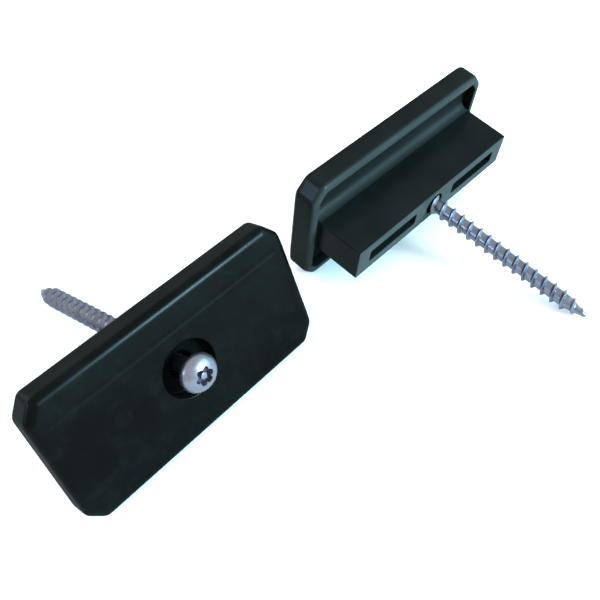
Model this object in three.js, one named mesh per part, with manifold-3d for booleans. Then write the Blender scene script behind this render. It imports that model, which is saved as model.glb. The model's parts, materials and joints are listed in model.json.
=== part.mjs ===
// A pair of T-shaped clamp blocks, each with a long tamper-resistant wood screw through its centre.
// Both units stand on a flat surface, leaning back on the points of their own screws.
// Millimetres, +Z up. The origin is the centre of the footprint, at floor level.
import * as THREE from 'three';
import { mergeVertices } from 'three/addons/utils/BufferGeometryUtils.js';
import Module from 'manifold-3d';

const wasm = await Module();
wasm.setup();

// Clamp block. Its own frame: X along the length, Y across, +Z out of the front face.
// The back of the flange is at z = 0.
const BLOCK_LENGTH = 100;
const BLOCK_WIDTH = 51;
const FLANGE_THICKNESS = 10.5;
const CORNER_CUT_X = 5;
const CORNER_CUT_Y = 6;
const CORNER_RADIUS = 1.5;
const FRONT_BEVEL_INSET = 2.2;
const FRONT_BEVEL_DROP = 1.6;
const BACK_BEVEL = 1.2;
const FRONT_BAND_WIDTH = 31;
const MARGIN_FALL = 0.6;
const LIP_WIDTH = 3.5;
const TRAY_DEPTH = 4.5;

// Rib that stands between the two clamped edges.
const RIB_LENGTH = 91;
const RIB_WIDTH = 15;
const RIB_HEIGHT = 20;
const RIB_WALL = 4.5;
const RIB_END_WALL = 7;
const BOSS_LENGTH = 23;
const POCKET_DEPTH = 17;
const ROOT_FILLET = 3.5;

// Screw hole and the recess around the screw head.
const RECESS_DIAMETER = 20;
const RECESS_DEPTH = 5;
const HOLE_DIAMETER = 9.2;

// Button-head wood screw. Its own frame: the underside of the head is at z = 0, the point at -Z.
const SCREW_LENGTH = 105;
const HEAD_DIAMETER = 13.5;
const HEAD_HEIGHT = 4.6;
const HEAD_RIM = 0.7;
const NECK_DIAMETER = 5.8;
const NECK_LENGTH = 10;
const THREAD_DIAMETER = 7.8;
const CORE_DIAMETER = 5.2;
const THREAD_PITCH = 4.4;
const POINT_LENGTH = 9;
const POINT_TIP_SHARE = 0.3;
const THREAD_START = 0.4;
const SOCKET_LOBES = 6;
const SOCKET_OUTER_DIAMETER = 6.6;
const SOCKET_INNER_DIAMETER = 4.8;
const SOCKET_DEPTH = 2.8;
const SOCKET_PIN_DIAMETER = 2.4;
const SOCKET_PIN_HEIGHT = 2.2;

// Thread mesh: points per turn, and the ridge across one pitch as [share of the pitch, is crest].
const TURN_STEPS = 12;
const RIDGE_ROWS = [[0, false], [0.16, true], [0.24, true], [0.4, false]];

// The two units as they stand. screwOut is the height of the head's underside over the flange back.
const UNITS = [
  { label: 'a', x: 0, y: 0, turn: 0, screwOut: 14 },
  { label: 'b', x: 118.65, y: 0.9, turn: THREE.MathUtils.degToRad(178.8), screwOut: 12 },
];

const CUT_EXTRA = 1;
const LEAN_PASSES = 30;

const blockMaterial = new THREE.MeshStandardMaterial({ color: 0x1c2728, roughness: 0.45, metalness: 0 });
const screwMaterial = new THREE.MeshStandardMaterial({ color: 0x9a9dab, roughness: 0.35, metalness: 0.9 });

function toSolid(geometry) {
  const bare = geometry.clone();
  bare.deleteAttribute('normal');
  bare.deleteAttribute('uv');
  const merged = mergeVertices(bare, 1e-4);
  return new wasm.Manifold(new wasm.Mesh({
    numProp: 3,
    vertProperties: merged.attributes.position.array,
    triVerts: Uint32Array.from(merged.index.array),
  }));
}

function toGeometry(solid) {
  const mesh = solid.getMesh();
  const geometry = new THREE.BufferGeometry();
  geometry.setAttribute('position', new THREE.BufferAttribute(mesh.vertProperties, 3));
  geometry.setIndex(new THREE.BufferAttribute(mesh.triVerts, 1));
  geometry.computeVertexNormals();
  return geometry;
}

// Rectangle with its corners cut off, every corner of the result slightly rounded.
function cutRectangle(length, width, cutX, cutY, radius) {
  const halfX = length / 2;
  const halfY = width / 2;
  const corners = [];
  for (const [signX, signY] of [[1, 1], [-1, 1], [-1, -1], [1, -1]]) {
    const onSide = new THREE.Vector2(signX * halfX, signY * (halfY - cutY));
    const onEnd = new THREE.Vector2(signX * (halfX - cutX), signY * halfY);
    corners.push(...(signX * signY > 0 ? [onSide, onEnd] : [onEnd, onSide]));
  }
  const shape = new THREE.Shape();
  corners.forEach((corner, index) => {
    const before = corners.at(index - 1);
    const after = corners[(index + 1) % corners.length];
    const start = corner.clone().add(before.clone().sub(corner).setLength(radius));
    const end = corner.clone().add(after.clone().sub(corner).setLength(radius));
    if (index === 0) shape.moveTo(start.x, start.y);
    else shape.lineTo(start.x, start.y);
    shape.quadraticCurveTo(corner.x, corner.y, end.x, end.y);
  });
  shape.closePath();
  return shape;
}

function rectangle(length, width, centreX = 0) {
  const shape = new THREE.Shape();
  shape.moveTo(centreX - length / 2, -width / 2);
  shape.lineTo(centreX + length / 2, -width / 2);
  shape.lineTo(centreX + length / 2, width / 2);
  shape.lineTo(centreX - length / 2, width / 2);
  shape.closePath();
  return shape;
}

function prism(shape, bottom, top, options = {}) {
  const geometry = new THREE.ExtrudeGeometry(shape, {
    depth: top - bottom, bevelEnabled: false, curveSegments: 3, ...options,
  });
  return geometry.translate(0, 0, bottom);
}

// Prism whose edges at both ends are cut back by a flat bevel.
function bevelledPrism(shape, bottom, top, inset, drop) {
  return prism(shape, bottom + drop, top - drop, {
    bevelEnabled: true,
    bevelThickness: drop,
    bevelSize: inset,
    bevelOffset: -inset,
    bevelSegments: 1,
  });
}

function cylinder(diameter, bottom, top, sides) {
  const geometry = new THREE.CylinderGeometry(diameter / 2, diameter / 2, top - bottom, sides);
  return geometry.rotateX(Math.PI / 2).translate(0, 0, (top + bottom) / 2);
}

// Section of the flange across Y: a flat middle band with slightly falling margins.
function flangeSection() {
  const halfWidth = BLOCK_WIDTH / 2;
  const section = new THREE.Shape();
  section.moveTo(-halfWidth, 0);
  section.lineTo(halfWidth, 0);
  section.lineTo(halfWidth, FLANGE_THICKNESS - MARGIN_FALL);
  section.lineTo(FRONT_BAND_WIDTH / 2, FLANGE_THICKNESS);
  section.lineTo(-FRONT_BAND_WIDTH / 2, FLANGE_THICKNESS);
  section.lineTo(-halfWidth, FLANGE_THICKNESS - MARGIN_FALL);
  section.closePath();
  return section;
}

// Turns an extrusion of a YZ section so that it runs along X, centred on the origin.
function alongX(geometry, length) {
  const turn = new THREE.Matrix4().makeBasis(
    new THREE.Vector3(0, 1, 0),
    new THREE.Vector3(0, 0, 1),
    new THREE.Vector3(1, 0, 0),
  );
  return geometry.applyMatrix4(turn).translate(-length / 2, 0, 0);
}

function buildFlange() {
  const bar = toSolid(alongX(prism(flangeSection(), 0, BLOCK_LENGTH), BLOCK_LENGTH));
  const outline = cutRectangle(BLOCK_LENGTH, BLOCK_WIDTH, CORNER_CUT_X, CORNER_CUT_Y, CORNER_RADIUS);
  const beyond = 2 * FRONT_BEVEL_DROP;
  const front = toSolid(bevelledPrism(
    outline,
    -beyond,
    FLANGE_THICKNESS,
    FRONT_BEVEL_INSET,
    FRONT_BEVEL_DROP,
  ));
  const back = toSolid(bevelledPrism(
    outline,
    0,
    FLANGE_THICKNESS + beyond,
    BACK_BEVEL,
    BACK_BEVEL,
  ));
  const tray = cutRectangle(
    BLOCK_LENGTH - 2 * LIP_WIDTH,
    BLOCK_WIDTH - 2 * LIP_WIDTH,
    CORNER_CUT_X - LIP_WIDTH / 2,
    CORNER_CUT_Y - LIP_WIDTH / 2,
    CORNER_RADIUS / 2,
  );
  return bar.intersect(front).intersect(back).subtract(toSolid(prism(tray, -CUT_EXTRA, TRAY_DEPTH)));
}

// Wedge under the flange that widens the rib's root on both sides.
function buildRoot() {
  const halfWidth = RIB_WIDTH / 2;
  const section = new THREE.Shape();
  section.moveTo(-halfWidth, TRAY_DEPTH - ROOT_FILLET);
  section.lineTo(halfWidth, TRAY_DEPTH - ROOT_FILLET);
  section.lineTo(halfWidth + ROOT_FILLET, TRAY_DEPTH);
  section.lineTo(halfWidth + ROOT_FILLET, TRAY_DEPTH + CUT_EXTRA);
  section.lineTo(-halfWidth - ROOT_FILLET, TRAY_DEPTH + CUT_EXTRA);
  section.lineTo(-halfWidth - ROOT_FILLET, TRAY_DEPTH);
  section.closePath();
  return toSolid(alongX(prism(section, 0, RIB_LENGTH), RIB_LENGTH));
}

function buildRib() {
  const straight = toSolid(prism(rectangle(RIB_LENGTH, RIB_WIDTH), -RIB_HEIGHT, TRAY_DEPTH + CUT_EXTRA));
  const bar = straight.add(buildRoot());
  const pocketLength = (RIB_LENGTH - BOSS_LENGTH) / 2 - RIB_END_WALL;
  const pocketCentre = (BOSS_LENGTH + pocketLength) / 2;
  const pocketWidth = RIB_WIDTH - 2 * RIB_WALL;
  const pockets = [-pocketCentre, pocketCentre].map((centre) => toSolid(prism(
    rectangle(pocketLength, pocketWidth, centre),
    -RIB_HEIGHT - CUT_EXTRA,
    -RIB_HEIGHT + POCKET_DEPTH,
  )));
  return bar.subtract(pockets[0]).subtract(pockets[1]);
}

function buildBlock() {
  const recessFloor = FLANGE_THICKNESS - RECESS_DEPTH;
  const recess = toSolid(cylinder(RECESS_DIAMETER, recessFloor, FLANGE_THICKNESS + CUT_EXTRA, 32));
  const hole = toSolid(cylinder(HOLE_DIAMETER, -RIB_HEIGHT - CUT_EXTRA, recessFloor + CUT_EXTRA, 20));
  return toGeometry(buildFlange().add(buildRib()).subtract(recess).subtract(hole));
}

// Radius of the thread's root or crest at a height above the blunt tip of the screw.
function threadRadius(height, isCrest) {
  const body = Math.min(POINT_TIP_SHARE + (1 - POINT_TIP_SHARE) * (height / POINT_LENGTH), 1);
  const runOut = (SCREW_LENGTH - NECK_LENGTH - height) / THREAD_PITCH;
  const ridge = (THREAD_DIAMETER - CORE_DIAMETER) / 2 * THREE.MathUtils.clamp(runOut, 0, 1);
  return body * (CORE_DIAMETER / 2 + (isCrest ? ridge : 0));
}

// Threaded shank as one ribbon of rows that climbs the helix, closed by a fan at each end.
function buildThread() {
  const rows = RIDGE_ROWS.length;
  const turns = Math.floor((SCREW_LENGTH - NECK_LENGTH) / THREAD_PITCH);
  const steps = turns * TURN_STEPS + 1;
  const positions = [];
  for (let step = 0; step < steps; step += 1) {
    const angle = (2 * Math.PI * step) / TURN_STEPS;
    for (const [share, isCrest] of RIDGE_ROWS) {
      const height = THREAD_PITCH * (step / TURN_STEPS + share) + THREAD_START;
      const radius = threadRadius(height, isCrest);
      positions.push(radius * Math.cos(angle), radius * Math.sin(angle), height - SCREW_LENGTH);
    }
  }
  const point = positions.push(0, 0, -SCREW_LENGTH) / 3 - 1;
  const end = positions.push(0, 0, -NECK_LENGTH / 2) / 3 - 1;
  const vertex = (step, row) => step * rows + row;
  const faces = [];
  const quad = (a, b, c, d) => faces.push(a, b, c, a, c, d);
  for (let step = 0; step < steps - 1; step += 1) {
    for (let row = 0; row < rows - 1; row += 1) {
      quad(vertex(step, row), vertex(step + 1, row), vertex(step + 1, row + 1), vertex(step, row + 1));
    }
    const above = step + TURN_STEPS;
    if (above < steps - 1) {
      quad(vertex(step, rows - 1), vertex(step + 1, rows - 1), vertex(above + 1, 0), vertex(above, 0));
    }
  }
  const lowerEdge = [];
  const upperEdge = [];
  for (let step = 0; step <= TURN_STEPS; step += 1) {
    lowerEdge.push(vertex(step, 0));
    upperEdge.push(vertex(steps - 1 - TURN_STEPS + step, rows - 1));
  }
  for (let row = rows - 1; row > 0; row -= 1) {
    lowerEdge.push(vertex(0, row));
    upperEdge.push(vertex(steps - 1, row - 1));
  }
  lowerEdge.forEach((at, index) => faces.push(point, lowerEdge[(index + 1) % lowerEdge.length], at));
  upperEdge.forEach((at, index) => faces.push(end, at, upperEdge[(index + 1) % upperEdge.length]));
  const geometry = new THREE.BufferGeometry();
  geometry.setAttribute('position', new THREE.Float32BufferAttribute(positions, 3));
  geometry.setIndex(faces);
  return toSolid(geometry);
}

// Outline of the socket: a circle whose radius swells into evenly spaced lobes.
function lobedOutline() {
  const middle = (SOCKET_OUTER_DIAMETER + SOCKET_INNER_DIAMETER) / 4;
  const swell = (SOCKET_OUTER_DIAMETER - SOCKET_INNER_DIAMETER) / 4;
  const shape = new THREE.Shape();
  const steps = SOCKET_LOBES * 4;
  for (let step = 0; step < steps; step += 1) {
    const angle = (2 * Math.PI * step) / steps;
    const radius = middle + swell * Math.cos(SOCKET_LOBES * angle);
    const x = radius * Math.cos(angle);
    const y = radius * Math.sin(angle);
    if (step === 0) shape.moveTo(x, y);
    else shape.lineTo(x, y);
  }
  shape.closePath();
  return shape;
}

// Domed head and plain neck, with a lobed socket that has a pin standing in its middle.
function buildHead() {
  const profile = [
    new THREE.Vector2(0, -NECK_LENGTH),
    new THREE.Vector2(NECK_DIAMETER / 2, -NECK_LENGTH),
    new THREE.Vector2(NECK_DIAMETER / 2, 0),
    new THREE.Vector2(HEAD_DIAMETER / 2, 0),
  ];
  const domeSteps = 5;
  const domeEnd = THREE.MathUtils.degToRad(68);
  const domeHeight = (HEAD_HEIGHT - HEAD_RIM) / Math.sin(domeEnd);
  for (let step = 0; step <= domeSteps; step += 1) {
    const angle = (domeEnd * step) / domeSteps;
    profile.push(new THREE.Vector2(
      (HEAD_DIAMETER / 2) * Math.cos(angle),
      HEAD_RIM + domeHeight * Math.sin(angle),
    ));
  }
  profile.push(new THREE.Vector2(0, HEAD_HEIGHT));
  const turned = toSolid(new THREE.LatheGeometry(profile, 24).rotateX(Math.PI / 2));
  const socketFloor = HEAD_HEIGHT - SOCKET_DEPTH;
  const socket = toSolid(prism(lobedOutline(), socketFloor, HEAD_HEIGHT + CUT_EXTRA));
  const pinTop = socketFloor + SOCKET_PIN_HEIGHT;
  const pin = toSolid(cylinder(SOCKET_PIN_DIAMETER, socketFloor - CUT_EXTRA, pinTop, 10));
  return turned.subtract(socket).add(pin);
}

function buildScrew() {
  return toGeometry(buildThread().add(buildHead()));
}

// Height of a mesh's lowest point over the block's origin when the unit leans back.
function lowestPoint(mesh, lean) {
  const points = mesh.geometry.attributes.position;
  let lowest = Infinity;
  for (let index = 0; index < points.count; index += 1) {
    const outward = points.getZ(index) + mesh.position.z;
    lowest = Math.min(lowest, points.getY(index) * Math.cos(lean) + outward * Math.sin(lean));
  }
  return lowest;
}

// Lean from upright at which the block's lower edge and the screw both touch one flat floor.
function restingLean(block, screw) {
  let low = 0;
  let high = Math.PI / 4;
  for (let pass = 0; pass < LEAN_PASSES; pass += 1) {
    const lean = (low + high) / 2;
    if (lowestPoint(screw, lean) < lowestPoint(block, lean)) high = lean;
    else low = lean;
  }
  return high;
}

function buildUnit({ label, x, y, turn, screwOut }) {
  const block = new THREE.Mesh(buildBlock(), blockMaterial.clone());
  block.name = `clamp_block_${label}`;
  const screw = new THREE.Mesh(buildScrew(), screwMaterial.clone());
  screw.name = `wood_screw_${label}`;
  screw.position.z = screwOut;
  const lean = restingLean(block, screw);
  const leaning = new THREE.Group();
  leaning.add(block, screw);
  leaning.rotation.x = Math.PI / 2 - lean;
  leaning.position.z = -lowestPoint(block, lean);
  const unit = new THREE.Group();
  unit.add(leaning);
  unit.rotation.z = turn;
  unit.position.set(x, y, 0);
  return unit;
}

const assembly = new THREE.Group();
for (const unit of UNITS) assembly.add(buildUnit(unit));
const extent = new THREE.Box3().setFromObject(assembly, true);
const centre = extent.getCenter(new THREE.Vector3());
for (const unit of assembly.children) {
  unit.position.sub(new THREE.Vector3(centre.x, centre.y, extent.min.z));
}

export default assembly;
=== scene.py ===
import json
import math

import bmesh
import bpy
from mathutils import Matrix, Vector


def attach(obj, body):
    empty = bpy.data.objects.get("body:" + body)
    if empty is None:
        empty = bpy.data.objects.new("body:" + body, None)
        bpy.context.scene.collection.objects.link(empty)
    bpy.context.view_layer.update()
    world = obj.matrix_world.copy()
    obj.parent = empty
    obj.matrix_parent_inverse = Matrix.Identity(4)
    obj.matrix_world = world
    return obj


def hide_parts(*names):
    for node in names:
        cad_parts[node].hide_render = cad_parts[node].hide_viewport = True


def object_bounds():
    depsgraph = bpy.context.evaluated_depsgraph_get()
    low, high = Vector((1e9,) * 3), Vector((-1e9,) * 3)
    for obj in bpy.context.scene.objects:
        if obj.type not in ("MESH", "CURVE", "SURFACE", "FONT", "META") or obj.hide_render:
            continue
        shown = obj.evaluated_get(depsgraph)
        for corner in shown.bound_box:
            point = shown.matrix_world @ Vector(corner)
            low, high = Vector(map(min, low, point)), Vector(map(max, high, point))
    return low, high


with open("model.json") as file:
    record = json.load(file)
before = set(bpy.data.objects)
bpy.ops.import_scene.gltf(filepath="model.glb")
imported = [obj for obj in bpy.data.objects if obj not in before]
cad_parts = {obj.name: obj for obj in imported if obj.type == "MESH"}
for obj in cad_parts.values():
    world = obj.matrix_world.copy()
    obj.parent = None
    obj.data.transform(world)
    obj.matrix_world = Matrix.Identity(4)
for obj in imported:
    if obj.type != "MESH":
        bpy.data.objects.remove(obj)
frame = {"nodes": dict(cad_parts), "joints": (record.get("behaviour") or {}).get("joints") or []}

CAD_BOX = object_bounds()
MM = 0.001
UNITS = ("a", "b")
UP = Vector((0, 0, 1))

# Flange of the block. FRONT_ROUND is how far its front edge goes inwards and down. Moving the outline
# inwards takes CORNER_ROUND_FALL of that distance off its corners' rounding, down to the least.
FLANGE_THICKNESS = 10.5
CORNER_CUT = (5.0, 6.0)
CORNER_ROUND = 1.6
CORNER_ROUND_FALL = 0.41
CORNER_ROUND_LEAST = 0.4
FRONT_ROUND = (3.2, 2.4)
BACK_ROUND = 2.0
BAND_HALF_WIDTH = 15.5
MARGIN_FALL = 0.6

# Fine line pressed into the front face along each side of its flat band.
LINE_HALF_WIDTH = 1.5
LINE_DEPTH = 0.18
LINE_END = 44.0
LINE_FADE = 1.5
LINE_STEPS = 4

# Tray in the back of the flange.
LIP_WIDTH = 3.5
TRAY_DEPTH = 4.5
TRAY_FLOOR_ROUND = 0.5
TRAY_MOUTH_FLARE = 0.35

# Rib, its pockets and the boss between them. The root widens less at the rib's ends than at its sides,
# and the rounding of an upright corner stays between the two limits.
RIB_LENGTH = 91.0
RIB_WIDTH = 15.0
RIB_HEIGHT = 20.0
RIB_WALL = 4.5
RIB_END_WALL = 7.0
RIB_DRAFT = 0.15
RIB_FOOT_ROUND = 0.35
RIB_CORNER_ROUND = 0.7
ROOT_ROUND = 4.8
ROOT_END_SHARE = 0.08
BOSS_LENGTH = 23.0
POCKET_DEPTH = 17.0
POCKET_DRAFT = 0.3
POCKET_FLOOR_ROUND = 0.8
POCKET_MOUTH_FLARE = 0.25
POCKET_CORNER_ROUND = 1.0
BAR_CORNER_LIMITS = (0.1, 1.3)

# Screw hole and the recess round the head. The recess is 0.06 deeper than the CAD's, so that a seated
# head doesn't lie in the same plane as its floor.
RECESS_RADIUS = 10.0
RECESS_DEPTH = 5.06
RECESS_MOUTH_FLARE = 0.5
RECESS_FLOOR_ROUND = 0.4
HOLE_RADIUS = 4.6
HOLE_TOP_ROUND = 0.3
HOLE_FOOT_FLARE = 0.3

# Wood screw. The CAD's crest runs straight between its points, so the round one lies a little inside
# them, and the tip stops short of the CAD's. The point starts at POINT_TIP_SHARE of the core's radius,
# behind a small round nose, and the thread rises over the first POINT_LEAD_IN of its length.
HEAD_RADIUS = 6.75
HEAD_HEIGHT = 4.6
HEAD_RIM = 0.7
DOME_END = math.radians(68)
NECK_RADIUS = 2.9
NECK_LENGTH = 10.0
NECK_BLEND = 1.5
NECK_IN_HEAD = 0.4
CORE_RADIUS = 2.6
THREAD_PITCH = 4.4
THREAD_WIDTH = 0.42
RIDGE_GAIN = 1.12
RIDGE_POWER = 1.15
CREST_SHARE = math.cos(math.radians(12.5))
POINT_LENGTH = 9.0
POINT_TIP_SHARE = 0.27
POINT_NOSE = 0.8
POINT_LEAD_IN = 0.45
TIP_GAP = 0.4
SOCKET_LOBES = 6
SOCKET_OUTER = 3.3
SOCKET_INNER = 2.4
SOCKET_DEPTH = 2.8
SOCKET_FLOOR_TAPER = 0.25
SOCKET_CHAMFER = 0.45
SOCKET_CHAMFER_DEPTH = 0.42
SOCKET_TOOL_PAST = 1.5
PIN_RADIUS = 1.2
PIN_HEIGHT = 2.2
PIN_SINK = 0.5

# Small rounded edge, as (distance from the end, inset) pairs.
SMALL_ROUND = ((0.0, 0.35), (0.1, 0.1), (0.3, 0.0))

# A flare curves through this arc towards a face. Past the face it goes straight on, and is wider there.
FLARE_ARC = math.radians(75)
FLARE_WIDER = 1.24
FLARE_STEP = 0.1
FLARE_PAST = 0.8

# How finely round shapes are divided.
CORNER_STEPS = 5
ROUND_STEPS = 6
FLOOR_STEPS = 4
HOLE_TOP_STEPS = 3
ROUND_SIDES = 96
DOME_STEPS = 18
PIN_SIDES = 40
LOBE_SIDES = 16
SHANK_SIDES = 56
PITCH_ROWS = 14

# Edges sharper than these stay sharp when a piece is shaded, and flat faces outweigh rounded ones.
BLOCK_SHARP_ANGLE = math.radians(40)
SCREW_SHARP_ANGLE = math.radians(38)
FLAT_FACE_WEIGHT = 80

# Room left when points are sorted by place, and distances that count as none.
SLACK = 0.05
FRONT_SLACK = 0.01
SAME_POINT = 1e-4
NO_LENGTH = 1e-5

# Marks stored on the meshes for the materials: how much painted shade darkens the recess, hole and tray
# and between which depths, how far painted light makes faces turned to the back and the rib's foot
# paler, and what tells a head from a shank.
DEEP_FROM, DEEP_TO = 0.3, 0.9
TRAY_PAINTED_SHADE = 0.85
TRAY_DEEP_FROM, TRAY_DEEP_TO = 0.5 * TRAY_DEPTH, 0.85 * TRAY_DEPTH
BACK_PAINTED_LIGHT = 0.72
FOOT_PAINTED_LIGHT = 1.0
FOOT_LAYER = 0.5
PAINTED_LIGHT_FALLOFF = 2.7
TRAY_PAINTED_LIGHT_FALLOFF = 1.2
HEAD_MARK = 2.0


# ---------------------------------------------------------------- mesh helpers

def new_object(name, data):
    obj = bpy.data.objects.new(name, data)
    bpy.context.scene.collection.objects.link(obj)
    return obj


def mesh_from(bm, name):
    bmesh.ops.recalc_face_normals(bm, faces=bm.faces)
    mesh = bpy.data.meshes.new(name)
    bm.to_mesh(mesh)
    bm.free()
    return mesh


def stack(rings):
    """Closed solid through rings of points that all have the same count."""
    bm = bmesh.new()
    loops = [[bm.verts.new(point) for point in ring] for ring in rings]
    count = len(loops[0])
    for lower, upper in zip(loops, loops[1:]):
        for i in range(count):
            j = (i + 1) % count
            bm.faces.new((lower[i], lower[j], upper[j], upper[i]))
    bm.faces.new(loops[0][::-1])
    bm.faces.new(loops[-1])
    return bm


def combine(obj, tool_bm, operation):
    """Joins or cuts obj with a closed tool solid, which is then thrown away."""
    tool = new_object("tool", mesh_from(tool_bm, "tool"))
    change = obj.modifiers.new("change", "BOOLEAN")
    change.object = tool
    change.operation = operation
    change.solver = "EXACT"
    depsgraph = bpy.context.evaluated_depsgraph_get()
    result = bpy.data.meshes.new_from_object(obj.evaluated_get(depsgraph))
    obj.modifiers.clear()
    old = obj.data
    obj.data = result
    bpy.data.meshes.remove(old)
    bpy.data.objects.remove(tool)


def shade(obj, angle):
    """Smooth shading that keeps flat faces flat and edges past the angle sharp."""
    obj.data.shade_smooth()
    obj.data.set_sharp_from_angle(angle=angle)
    weighted = obj.modifiers.new("flat_faces", "WEIGHTED_NORMAL")
    weighted.mode = "FACE_AREA"
    weighted.keep_sharp = True
    weighted.weight = FLAT_FACE_WEIGHT


def share_of(value, low, high):
    """Where a value lies between two others, kept from 0 to 1."""
    return min(max((value - low) / (high - low), 0.0), 1.0)


# ---------------------------------------------------------------- sections and edge profiles

def quarter(steps):
    return [math.pi / 2 * k / steps for k in range(steps + 1)]


def lower_round(bottom, size):
    """(height, inset) pairs up a wall from a lower edge that is rounded inwards."""
    return [
        (bottom + size * (1 - math.cos(a)), size * (1 - math.sin(a)))
        for a in quarter(ROUND_STEPS)
    ]


def upper_round(top, inward, down):
    """(height, inset) pairs up a wall to an upper edge that is rounded inwards."""
    return [
        (top - down * (1 - math.sin(a)), inward * (1 - math.cos(a)))
        for a in quarter(ROUND_STEPS)
    ]


def flare_profile(face, flare, side):
    """(height, inset) pairs that open a wall out to meet a flat face, side +1 or -1 being beyond it."""
    pairs = []
    for k in range(ROUND_STEPS + 1):
        a = FLARE_ARC * k / ROUND_STEPS
        pairs.append((face - side * flare * (1 - math.sin(a)), -flare * (1 - math.cos(a))))
    pairs.append((face + side * FLARE_STEP * flare, -FLARE_WIDER * flare))
    pairs.append((face + side * FLARE_PAST, -FLARE_WIDER * flare))
    return pairs


def corner_curve(corner, before, after, reach, steps):
    start = corner + (before - corner).normalized() * reach
    end = corner + (after - corner).normalized() * reach
    points = []
    for k in range(steps + 1):
        t = k / steps
        points.append(start * (1 - t) ** 2 + corner * 2 * t * (1 - t) + end * t ** 2)
    return points


def rounded_polygon(corners, reach):
    points = []
    for i, corner in enumerate(corners):
        after = corners[(i + 1) % len(corners)]
        points += corner_curve(corner, corners[i - 1], after, reach, CORNER_STEPS)
    return points


def flange_outline(inset, height):
    """Rectangle with cut, rounded corners, moved inwards by inset on every side."""
    half_x = BLOCK_LENGTH / 2 - inset
    half_y = BLOCK_WIDTH / 2 - inset
    slope = sum(CORNER_CUT) - math.hypot(*CORNER_CUT)
    cut_x = CORNER_CUT[0] - inset * slope / CORNER_CUT[1]
    cut_y = CORNER_CUT[1] - inset * slope / CORNER_CUT[0]
    corners = []
    for sx, sy in ((1, 1), (-1, 1), (-1, -1), (1, -1)):
        side = Vector((sx * half_x, sy * (half_y - cut_y), height))
        end = Vector((sx * (half_x - cut_x), sy * half_y, height))
        corners += [side, end] if sx * sy > 0 else [end, side]
    reach = max(CORNER_ROUND - CORNER_ROUND_FALL * inset, CORNER_ROUND_LEAST)
    return rounded_polygon(corners, reach)


def bar_outline(length, width, centre_x, reach, inset, height, end_share=1.0):
    """Rounded rectangle, moved inwards by inset on its sides and by a share of that at its ends."""
    half_x = length / 2 - inset * end_share
    half_y = width / 2 - inset
    corners = [
        Vector((centre_x + sx * half_x, sy * half_y, height))
        for sx, sy in ((1, 1), (-1, 1), (-1, -1), (1, -1))
    ]
    least, most = BAR_CORNER_LIMITS
    return rounded_polygon(corners, min(max(reach - inset, least), most))


def circle(radius, height, count):
    angles = [2 * math.pi * k / count for k in range(count)]
    return [Vector((radius * math.cos(a), radius * math.sin(a), height)) for a in angles]


# ---------------------------------------------------------------- moulded block

def margin_drop(x, y):
    """How far the front face lies below its flat band at a point."""
    away = abs(y) - BAND_HALF_WIDTH
    drop = MARGIN_FALL * max(away, 0) / (BLOCK_WIDTH / 2 - BAND_HALF_WIDTH)
    across = share_of(abs(away), 0, LINE_HALF_WIDTH)
    along = share_of(LINE_END + LINE_FADE - abs(x), 0, LINE_FADE)
    return drop + LINE_DEPTH * along * (1 + math.cos(math.pi * across)) / 2


def on_front(vert):
    return vert.co.z > FLANGE_THICKNESS - FRONT_ROUND[1] - FRONT_SLACK


def slice_front(bm, position, axis):
    """Cuts the front's faces along a line, so that the pressed line has points to follow."""
    normal = Vector((1, 0, 0)) if axis == 0 else Vector((0, 1, 0))
    front = [face for face in bm.faces if all(on_front(vert) for vert in face.verts)]
    geometry = set(front)
    for face in front:
        geometry.update(face.edges)
        geometry.update(face.verts)
    bmesh.ops.bisect_plane(
        bm, geom=list(geometry), plane_co=normal * position, plane_no=normal, dist=SAME_POINT,
    )


def flange_solid():
    profile = lower_round(0, BACK_ROUND) + upper_round(FLANGE_THICKNESS, *FRONT_ROUND)
    bm = stack([flange_outline(inset, height) for height, inset in profile])
    for side in (-1, 1):
        for k in range(-LINE_STEPS, LINE_STEPS + 1):
            slice_front(bm, side * (BAND_HALF_WIDTH + LINE_HALF_WIDTH * k / LINE_STEPS), 1)
        slice_front(bm, side * LINE_END, 0)
        slice_front(bm, side * (LINE_END + LINE_FADE), 0)
    for vert in bm.verts:
        if on_front(vert):
            vert.co.z -= margin_drop(vert.co.x, vert.co.y)
    return bm


def tray_tool():
    size = TRAY_FLOOR_ROUND
    floor = [
        (TRAY_DEPTH - size * (1 - math.cos(a)), LIP_WIDTH + size * (1 - math.sin(a)))
        for a in quarter(FLOOR_STEPS)
    ]
    mouth = [(height, LIP_WIDTH + inset) for height, inset in flare_profile(0, TRAY_MOUTH_FLARE, -1)]
    return stack([flange_outline(inset, height) for height, inset in floor + mouth])


def rib_solid():
    """Rib with a rounded foot and a cove that widens it to its root on the tray's floor."""
    size = (RIB_LENGTH, RIB_WIDTH, 0, RIB_CORNER_ROUND)
    foot = lower_round(-RIB_HEIGHT, RIB_FOOT_ROUND)
    root = flare_profile(TRAY_DEPTH, ROOT_ROUND, 1)
    wall = [bar_outline(*size, inset + RIB_DRAFT, height) for height, inset in foot]
    wall += [bar_outline(*size, inset, height, ROOT_END_SHARE) for height, inset in root]
    return stack(wall)


def pocket_tool(side):
    length = (RIB_LENGTH - BOSS_LENGTH) / 2 - RIB_END_WALL
    width = RIB_WIDTH - 2 * RIB_WALL
    centre = side * (BOSS_LENGTH + length) / 2
    top = POCKET_DEPTH - RIB_HEIGHT
    rounded = upper_round(top, POCKET_FLOOR_ROUND, POCKET_FLOOR_ROUND)
    floor = [(height, inset + POCKET_DRAFT) for height, inset in rounded]
    mouth = flare_profile(-RIB_HEIGHT, POCKET_MOUTH_FLARE, -1)
    return stack([
        bar_outline(length, width, centre, POCKET_CORNER_ROUND, inset, height)
        for height, inset in floor[::-1] + mouth
    ])


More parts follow.
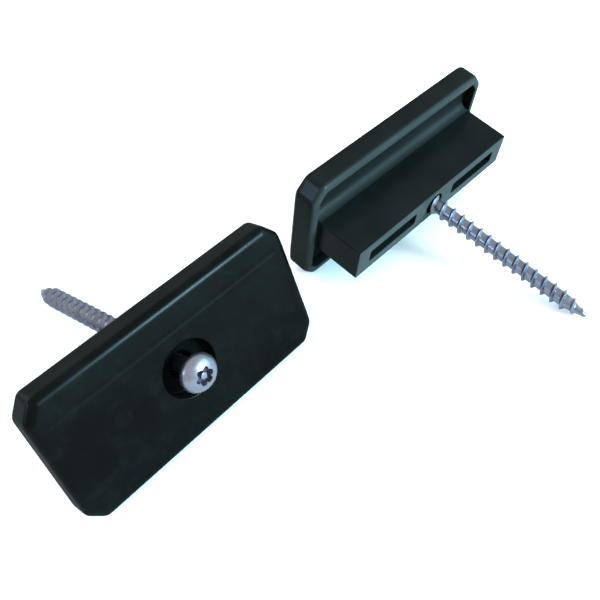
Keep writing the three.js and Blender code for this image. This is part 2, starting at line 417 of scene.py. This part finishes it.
def hole_tool():
    """Stepped round hole: rounded mouth, wide recess, narrow bore and rounded foot."""
    front = FLANGE_THICKNESS
    floor = front - RECESS_DEPTH
    mouth = flare_profile(front, RECESS_MOUTH_FLARE, 1)[::-1]
    foot = flare_profile(-RIB_HEIGHT, HOLE_FOOT_FLARE, -1)
    pairs = [(height, RECESS_RADIUS - inset) for height, inset in mouth]
    size = RECESS_FLOOR_ROUND
    for a in quarter(FLOOR_STEPS):
        pairs.append((floor + size * (1 - math.sin(a)), RECESS_RADIUS - size * (1 - math.cos(a))))
    size = HOLE_TOP_ROUND
    for a in quarter(HOLE_TOP_STEPS):
        pairs.append((floor - size * (1 - math.cos(a)), HOLE_RADIUS + size * (1 - math.sin(a))))
    pairs += [(height, HOLE_RADIUS - inset) for height, inset in foot]
    return stack([circle(radius, height, ROUND_SIDES) for height, radius in pairs])


def in_tray(point):
    inside_y = abs(point.y) < BLOCK_WIDTH / 2 - LIP_WIDTH
    inside_x = abs(point.x) < BLOCK_LENGTH / 2 - LIP_WIDTH
    return inside_y and inside_x and TRAY_DEPTH - ROOT_ROUND < point.z < TRAY_DEPTH + SLACK


def in_recess(point):
    near = math.hypot(point.x, point.y) < RECESS_RADIUS + SLACK
    return near and point.z > -RIB_HEIGHT / 2


def mark_painted_shade(mesh):
    """Stores painted shade for each point, from 0 to 1, growing the deeper it lies in the recess, hole
    or tray.
    """
    painted_shade = mesh.attributes.new("painted_shade", "FLOAT", "POINT")
    for vert, value in zip(mesh.vertices, painted_shade.data):
        point = vert.co
        if in_recess(point):
            value.value = share_of(FLANGE_THICKNESS - point.z, DEEP_FROM, DEEP_TO)
        elif in_tray(point):
            value.value = TRAY_PAINTED_SHADE * share_of(point.z, TRAY_DEEP_FROM, TRAY_DEEP_TO)


def mark_painted_light(mesh):
    """Stores painted light for each face, from 0 for the front's colour to 1 for the paler back colour:
    faces turned towards the back get it, the rib's foot most.
    """
    painted_light = mesh.attributes.new("painted_light", "FLOAT", "FACE")
    for face, value in zip(mesh.polygons, painted_light.data):
        foot = face.center.z < FOOT_LAYER - RIB_HEIGHT
        most = FOOT_PAINTED_LIGHT if foot else BACK_PAINTED_LIGHT
        falloff = TRAY_PAINTED_LIGHT_FALLOFF if in_tray(face.center) else PAINTED_LIGHT_FALLOFF
        value.value = most * ((1 - face.normal.z) / 2) ** falloff


def build_block(name):
    obj = new_object(name, mesh_from(flange_solid(), name))
    combine(obj, tray_tool(), "DIFFERENCE")
    combine(obj, rib_solid(), "UNION")
    for side in (-1, 1):
        combine(obj, pocket_tool(side), "DIFFERENCE")
    combine(obj, hole_tool(), "DIFFERENCE")
    mark_painted_shade(obj.data)
    mark_painted_light(obj.data)
    obj.data.transform(Matrix.Scale(MM, 4))
    shade(obj, BLOCK_SHARP_ANGLE)
    return obj


# ---------------------------------------------------------------- wood screw

def ridge(share):
    """Height of the thread across one pitch, from 0 at the root to 1 at the crest."""
    away = abs(share - THREAD_WIDTH / 2) / (THREAD_WIDTH / 2)
    if away >= 1:
        return 0.0
    return min(1.0, RIDGE_GAIN * (1 - away) ** RIDGE_POWER)


def shank_radius(height, share, length, crest_radius):
    """Radius at a height above the point, and how much of a full ridge stands there."""
    body = min(1.0, POINT_TIP_SHARE + (1 - POINT_TIP_SHARE) * height / POINT_LENGTH)
    body *= math.sqrt(min(1.0, height / POINT_NOSE))
    thread_top = length - NECK_LENGTH
    run_out = share_of(thread_top - height, 0, THREAD_PITCH)
    lead_in = share_of(height, 0, POINT_LEAD_IN * POINT_LENGTH)
    full = (crest_radius - CORE_RADIUS) * run_out * lead_in
    core = CORE_RADIUS + (NECK_RADIUS - CORE_RADIUS) * share_of(height - thread_top, 0, NECK_BLEND)
    lift = ridge(share) * run_out * lead_in
    return body * core + full * ridge(share) * body, lift


def shank_mesh(name, length, crest_radius):
    """Shank as a grid that climbs with the helix, so that the crests run along its edges."""
    rows = PITCH_ROWS
    top = length + NECK_IN_HEAD
    last_row = (int(math.ceil(top / THREAD_PITCH)) + 2) * rows
    bm = bmesh.new()
    crest = bm.verts.layers.float.new("crest")
    grid = []
    for i in range(SHANK_SIDES):
        angle = 2 * math.pi * i / SHANK_SIDES
        column = []
        for j in range(-rows, last_row):
            share = (j % rows) / rows
            height = min(max(THREAD_PITCH * (j / rows + i / SHANK_SIDES), 0.0), top)
            radius, lift = shank_radius(height, share, length, crest_radius)
            vert = bm.verts.new((radius * math.cos(angle), radius * math.sin(angle), height - length))
            vert[crest] = lift
            column.append(vert)
        grid.append(column)
    for i in range(SHANK_SIDES):
        ahead = grid[(i + 1) % SHANK_SIDES]
        shift = rows if i == SHANK_SIDES - 1 else 0
        for j in range(last_row - shift):
            bm.faces.new((grid[i][j], ahead[j + shift], ahead[j + 1 + shift], grid[i][j + 1]))
    bmesh.ops.remove_doubles(bm, verts=bm.verts, dist=SAME_POINT)
    bmesh.ops.dissolve_degenerate(bm, edges=bm.edges, dist=NO_LENGTH)
    open_edges = [edge for edge in bm.edges if edge.is_boundary]
    bmesh.ops.holes_fill(bm, edges=open_edges, sides=0)
    return mesh_from(bm, name)


def lobed_ring(grow, height):
    middle = (SOCKET_OUTER + SOCKET_INNER) / 2 + grow
    swell = (SOCKET_OUTER - SOCKET_INNER) / 2
    count = SOCKET_LOBES * LOBE_SIDES
    ring = []
    for k in range(count):
        angle = 2 * math.pi * k / count
        radius = middle + swell * math.cos(SOCKET_LOBES * angle)
        ring.append(Vector((radius * math.cos(angle), radius * math.sin(angle), height)))
    return ring


def dome_solid():
    dome_height = (HEAD_HEIGHT - HEAD_RIM) / math.sin(DOME_END)
    pairs = [(height, HEAD_RADIUS - inset) for height, inset in SMALL_ROUND]
    for k in range(DOME_STEPS + 1):
        angle = DOME_END * k / DOME_STEPS
        pairs.append((HEAD_RIM + dome_height * math.sin(angle), HEAD_RADIUS * math.cos(angle)))
    return stack([circle(radius, height, ROUND_SIDES) for height, radius in pairs])


def socket_tool(floor):
    chamfer = HEAD_HEIGHT - SOCKET_CHAMFER_DEPTH
    return stack([
        lobed_ring(-SOCKET_FLOOR_TAPER, floor),
        lobed_ring(0.0, floor + SOCKET_FLOOR_TAPER),
        lobed_ring(0.0, chamfer),
        lobed_ring(SOCKET_CHAMFER, chamfer + SOCKET_CHAMFER),
        lobed_ring(SOCKET_CHAMFER, chamfer + SOCKET_TOOL_PAST),
    ])


def pin_solid(floor):
    top = floor + PIN_HEIGHT
    pairs = [(floor - PIN_SINK, PIN_RADIUS)]
    pairs += [(top - down, PIN_RADIUS - inset) for down, inset in reversed(SMALL_ROUND)]
    return stack([circle(radius, height, PIN_SIDES) for height, radius in pairs])


def head_object(name):
    """Domed head with a lobed socket and a pin standing in it."""
    floor = HEAD_HEIGHT - SOCKET_DEPTH
    obj = new_object(name, mesh_from(dome_solid(), name))
    combine(obj, socket_tool(floor), "DIFFERENCE")
    combine(obj, pin_solid(floor), "UNION")
    return obj


def build_screw(name, length, crest_radius):
    """Shank and head as one mesh, with the underside of the head at Z = 0."""
    shank = shank_mesh(name, length, crest_radius)
    head = head_object(name + "_head")
    bm = bmesh.new()
    bm.from_mesh(shank)
    shank_verts = len(bm.verts)
    bm.from_mesh(head.data)
    bm.verts.ensure_lookup_table()
    crest = bm.verts.layers.float["crest"]
    for vert in bm.verts[shank_verts:]:
        vert[crest] = HEAD_MARK
    bpy.data.objects.remove(head)
    bpy.data.meshes.remove(shank)
    mesh = mesh_from(bm, name)
    mesh.transform(Matrix.Scale(MM, 4))
    obj = new_object(name, mesh)
    shade(obj, SCREW_SHARP_ANGLE)
    return obj


# ---------------------------------------------------------------- materials
# Colours, coat and lights were matched to the photograph's levels, not measured from real materials.

FRONT_COLOURS = ((0.0002, 0.0005, 0.0004), (0.0006, 0.0014, 0.0012))
# Painted light: the paler colours given to faces turned towards the back.
BACK_PAINTED_LIGHT_COLOURS = ((0.026, 0.034, 0.033), (0.034, 0.043, 0.042))
DUST_COLOUR = (0.005, 0.008, 0.008)
# Painted shade for the recess, hole and tray: a dark colour and a thin coat.
PAINTED_SHADE_COLOUR = (0.0022, 0.0026, 0.0023)
PAINTED_SHADE_COAT = (0.01, 0.01, 0.01)
BRIGHT_STEEL = ((0.115, 0.122, 0.155), (0.155, 0.165, 0.205))
# Painted shade in the thread roots.
SHADED_ROOT_STEEL = (0.085, 0.075, 0.070)
HEAD_STEEL = (0.17, 0.172, 0.205)
FLOOR_COLOURS = ((0.90, 0.90, 0.90), (0.93, 0.93, 0.93))


class Nodes:
    """Small helper for building a node tree in order."""

    def __init__(self, tree):
        self.tree = tree
        tree.nodes.clear()

    def add(self, kind, **values):
        node = self.tree.nodes.new(kind)
        for key, value in values.items():
            if hasattr(node, key):
                setattr(node, key, value)
            else:
                node.inputs[key.replace("_", " ")].default_value = value
        return node

    def link(self, source, target):
        self.tree.links.new(source, target)

    def place(self):
        return self.add("ShaderNodeTexCoord").outputs["Object"]

    def attribute(self, name):
        return self.add("ShaderNodeAttribute", attribute_name=name).outputs["Fac"]

    def noise(self, vector, scale, **values):
        node = self.add("ShaderNodeTexNoise", Scale=scale, **values)
        self.link(vector, node.inputs["Vector"])
        return node.outputs["Fac"]

    def spread(self, value, low, high, to_low=0.0, to_high=1.0):
        node = self.add("ShaderNodeMapRange")
        node.inputs["From Min"].default_value = low
        node.inputs["From Max"].default_value = high
        node.inputs["To Min"].default_value = to_low
        node.inputs["To Max"].default_value = to_high
        self.link(value, node.inputs["Value"])
        return node.outputs["Result"]

    def mix(self, factor, first, second):
        node = self.add("ShaderNodeMix", data_type="RGBA")
        self.link(factor, node.inputs[0])
        for value, socket in ((first, node.inputs[6]), (second, node.inputs[7])):
            if isinstance(value, tuple):
                socket.default_value = (*value, 1)
            else:
                self.link(value, socket)
        return node.outputs[2]

    def bump(self, height, strength, distance, normal=None):
        node = self.add("ShaderNodeBump", Strength=strength, Distance=distance)
        self.link(height, node.inputs["Height"])
        if normal is not None:
            self.link(normal, node.inputs["Normal"])
        return node.outputs["Normal"]

    def surface(self, links, **values):
        """Ends the tree with one shader, given what is linked to its sockets and its fixed values."""
        shader = self.add("ShaderNodeBsdfPrincipled", **values)
        for name, output in links.items():
            self.link(output, shader.inputs[name])
        end = self.add("ShaderNodeOutputMaterial")
        self.link(shader.outputs["BSDF"], end.inputs["Surface"])


def new_material(name):
    material = bpy.data.materials.new(name)
    material.use_nodes = True
    return material, Nodes(material.node_tree)


def plastic_material(name):
    """Nearly black green plastic: satin, mottled, a little dusty, with painted light on the back and
    painted shade where deep.

    The paler back and rib foot are painted light, and the dark recess, hole and tray are painted shade;
    both follow the photograph's levels.
    """
    material, nodes = new_material(name)
    place = nodes.place()
    cloud = nodes.noise(place, 42.0, Detail=3.0)
    patch = nodes.noise(place, 170.0, Detail=6.0, Roughness=0.62, Distortion=0.3)
    grain = nodes.noise(place, 2600.0, Detail=3.0)
    painted_shade = nodes.attribute("painted_shade")

    mottle = nodes.spread(cloud, 0.35, 0.65)
    front = nodes.mix(mottle, *FRONT_COLOURS)
    # Painted light: faces turned towards the back, most of all on the rib's foot, are mixed towards
    # these paler colours.
    back = nodes.mix(mottle, *BACK_PAINTED_LIGHT_COLOURS)
    base = nodes.mix(nodes.attribute("painted_light"), front, back)
    dusty = nodes.mix(nodes.spread(patch, 0.52, 0.80, 0.0, 0.35), base, DUST_COLOUR)
    # Painted shade: the recess, hole and tray are darkened the deeper they lie.
    colour = nodes.mix(nodes.spread(painted_shade, 0.0, 1.0, 0.0, 0.9), dusty, PAINTED_SHADE_COLOUR)

    # The coat thins there too, so the painted shade carries no reflection.
    coat = nodes.mix(painted_shade, nodes.spread(cloud, 0.3, 0.7, 0.10, 0.12), PAINTED_SHADE_COAT)
    normal = nodes.bump(grain, 0.18, 0.00004, nodes.bump(patch, 0.25, 0.00012))
    links = {
        "Base Color": colour,
        "Roughness": nodes.spread(cloud, 0.3, 0.7, 0.36, 0.29),
        "Normal": normal,
        "Coat Weight": coat,
        "Coat Normal": normal,
    }
    nodes.surface(links, Specular_IOR_Level=0.0, Coat_Roughness=0.25)
    return material


def steel_material(name):
    """Plated steel, with painted shade that makes the thread roots darker and brownish in patches while
    the crests stay bright.
    """
    material, nodes = new_material(name)
    place = nodes.place()
    cloud = nodes.noise(place, 260.0, Detail=4.0)
    patch = nodes.noise(place, 900.0, Detail=5.0, Roughness=0.6)
    grain = nodes.noise(place, 5200.0, Detail=2.0)
    crest = nodes.attribute("crest")

    bright = nodes.mix(nodes.spread(cloud, 0.3, 0.7), *BRIGHT_STEEL)
    # Painted shade: the thread roots go darker and brownish in patches, and the crests keep the bright
    # steel.
    root = nodes.mix(nodes.spread(patch, 0.45, 0.75, 0.0, 0.6), bright, SHADED_ROOT_STEEL)
    thread = nodes.mix(nodes.spread(crest, 0.0, 0.6), root, bright)
    is_head = nodes.spread(crest, 0.6 * HEAD_MARK, 0.9 * HEAD_MARK)
    links = {
        "Base Color": nodes.mix(is_head, thread, HEAD_STEEL),
        "Roughness": nodes.spread(patch, 0.3, 0.7, 0.26, 0.40),
        "Normal": nodes.bump(grain, 0.12, 0.00003, nodes.bump(patch, 0.15, 0.00005)),
    }
    nodes.surface(links, Metallic=0.95)
    return material


def floor_material(name):
    material, nodes = new_material(name)
    cloud = nodes.noise(nodes.place(), 3.0, Detail=2.0)
    colour = nodes.mix(nodes.spread(cloud, 0.3, 0.7), *FLOOR_COLOURS)
    nodes.surface({"Base Color": colour}, Roughness=0.9, Specular_IOR_Level=0.0)
    return material


# ---------------------------------------------------------------- placing the pieces on the frame

def unit_axes(label):
    """The block's own X, Y and Z in the row frame. Its screw slides along Z, out of its front face."""
    slide = next(joint for joint in frame["joints"] if joint["child"] == f"screw_{label}")
    z = Vector(slide["axis"]).normalized()
    x = UP.cross(z).normalized()
    return x, z.cross(x), z


def span(node, axis):
    values = [vert.co.dot(axis) for vert in frame["nodes"][node].data.vertices]
    return min(values), max(values)


def node_size(node, axis):
    low, high = span(node, axis)
    return (high - low) / MM


def unit_place(label):
    """Rigid transform from the block's own frame to the row frame, in metres."""
    x, y, z = unit_axes(label)
    node = f"clamp_block_{label}"
    origin = x * (sum(span(node, x)) / 2) + y * (sum(span(node, y)) / 2)
    origin += z * (span(node, z)[1] - FLANGE_THICKNESS * MM)
    place = Matrix((x, y, z)).transposed().to_4x4()
    place.translation = origin
    return place


def screw_measures(label, place):
    """Height of the head's underside in the block's frame, the screw's length, and its crest radius."""
    inverse = place.inverted()
    vertices = frame["nodes"][f"wood_screw_{label}"].data.vertices
    points = [inverse @ vert.co / MM for vert in vertices]
    seat = max(point.z for point in points) - HEAD_HEIGHT
    tip = min(point.z for point in points)
    crest = max(math.hypot(point.x, point.y) for point in points if point.z < seat - NECK_LENGTH)
    return seat, seat - tip, crest


LENGTHWISE, WIDTHWISE, _ = unit_axes("a")
BLOCK_LENGTH = node_size("clamp_block_a", LENGTHWISE)
BLOCK_WIDTH = node_size("clamp_block_a", WIDTHWISE)

plastic = plastic_material("moulded_plastic")
steel = steel_material("plated_steel")

for label in UNITS:
    place = unit_place(label)
    block = build_block(f"block_{label}_moulding")
    block.data.transform(place)
    block.data.materials.append(plastic)
    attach(block, f"block_{label}")
    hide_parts(f"clamp_block_{label}")

    seat, length, crest_radius = screw_measures(label, place)
    screw = build_screw(f"screw_{label}_steel", length - TIP_GAP, crest_radius * CREST_SHARE)
    screw.data.transform(place @ Matrix.Translation((0, 0, seat * MM)))
    screw.data.materials.append(steel)
    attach(screw, f"screw_{label}")
    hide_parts(f"wood_screw_{label}")


# ---------------------------------------------------------------- floor, light and camera

MIDDLE = (CAD_BOX[0] + CAD_BOX[1]) / 2
DIAGONAL = (CAD_BOX[1] - CAD_BOX[0]).length
FLOOR_HALF_SIDE = 14 * DIAGONAL
WORLD_HORIZON = (0.34, 0.34, 0.34)
WORLD_TOP = (0.46, 0.46, 0.455)
CAMERA_AZIMUTH = math.radians(-46.32)
CAMERA_ELEVATION = math.radians(46.32)
CAMERA_TURN = math.radians(4.78)
CAMERA_OFFSET = Vector((-0.13823, -0.16155, 0.19635))


def build_floor():
    bm = bmesh.new()
    bmesh.ops.create_grid(bm, x_segments=8, y_segments=8, size=FLOOR_HALF_SIDE)
    floor = new_object("pale_floor", mesh_from(bm, "pale_floor"))
    floor.data.materials.append(floor_material("pale_floor"))


def area_light(name, direction, distance, size, power, colour):
    """Soft box that faces the middle of the pair from a direction."""
    data = bpy.data.lights.new(name, "AREA")
    data.shape = "RECTANGLE"
    data.size, data.size_y = size
    data.energy = power
    data.color = colour
    light = new_object(name, data)
    toward = Vector(direction).normalized()
    light.location = MIDDLE + toward * distance
    light.visible_camera = False
    light.rotation_mode = "QUATERNION"
    light.rotation_quaternion = toward.to_track_quat("Z", "Y")


def build_world():
    """Even white studio, a little dimmer along its horizon."""
    world = bpy.data.worlds.new("studio")
    bpy.context.scene.world = world
    world.use_nodes = True
    nodes = Nodes(world.node_tree)
    split = nodes.add("ShaderNodeSeparateXYZ")
    nodes.link(nodes.add("ShaderNodeTexCoord").outputs["Generated"], split.inputs["Vector"])
    height = nodes.spread(split.outputs["Z"], 0.12, 0.26)
    background = nodes.add("ShaderNodeBackground", Strength=3.2)
    nodes.link(nodes.mix(height, WORLD_HORIZON, WORLD_TOP), background.inputs["Color"])
    end = nodes.add("ShaderNodeOutputWorld")
    nodes.link(background.outputs["Background"], end.inputs["Surface"])


def build_camera():
    """Seen from the front left, looking down, with a slight turn of the picture."""
    back = Vector((
        math.sin(CAMERA_AZIMUTH) * math.cos(CAMERA_ELEVATION),
        -math.cos(CAMERA_AZIMUTH) * math.cos(CAMERA_ELEVATION),
        math.sin(CAMERA_ELEVATION),
    ))
    right = UP.cross(back).normalized()
    up = back.cross(right)
    x = right * math.cos(CAMERA_TURN) - up * math.sin(CAMERA_TURN)
    y = right * math.sin(CAMERA_TURN) + up * math.cos(CAMERA_TURN)
    data = bpy.data.cameras.new("camera")
    data.sensor_width = 36
    data.lens = 47.82
    data.shift_x = -0.1
    data.shift_y = -0.0018
    data.clip_start, data.clip_end = 0.01, 20
    camera = new_object("camera", data)
    camera.rotation_mode = "QUATERNION"
    camera.rotation_quaternion = Matrix((x, y, back)).transposed().to_quaternion()
    camera.location = MIDDLE + CAMERA_OFFSET
    bpy.context.scene.camera = camera


build_floor()
build_world()
build_camera()

# Name, direction, distance in metres, size in metres, power in watts, colour.
area_light("front_panel", (0.50, -0.80, 0.33), 1.0, (1.1, 0.56), 14.0, (0.34, 0.78, 1.0))
area_light("front_window", (0.31, -0.90, 0.32), 0.9, (0.22, 0.22), 18.0, (0.44, 0.78, 0.95))
area_light("back_panel", (-0.50, 0.78, 0.45), 1.0, (0.9, 0.4), 4.0, (0.75, 0.90, 1.0))
area_light("left_window", (-0.85, 0.25, 0.45), 0.8, (0.30, 0.16), 3.0, (0.42, 0.72, 1.0))

bpy.context.scene.view_settings.view_transform = "Standard"
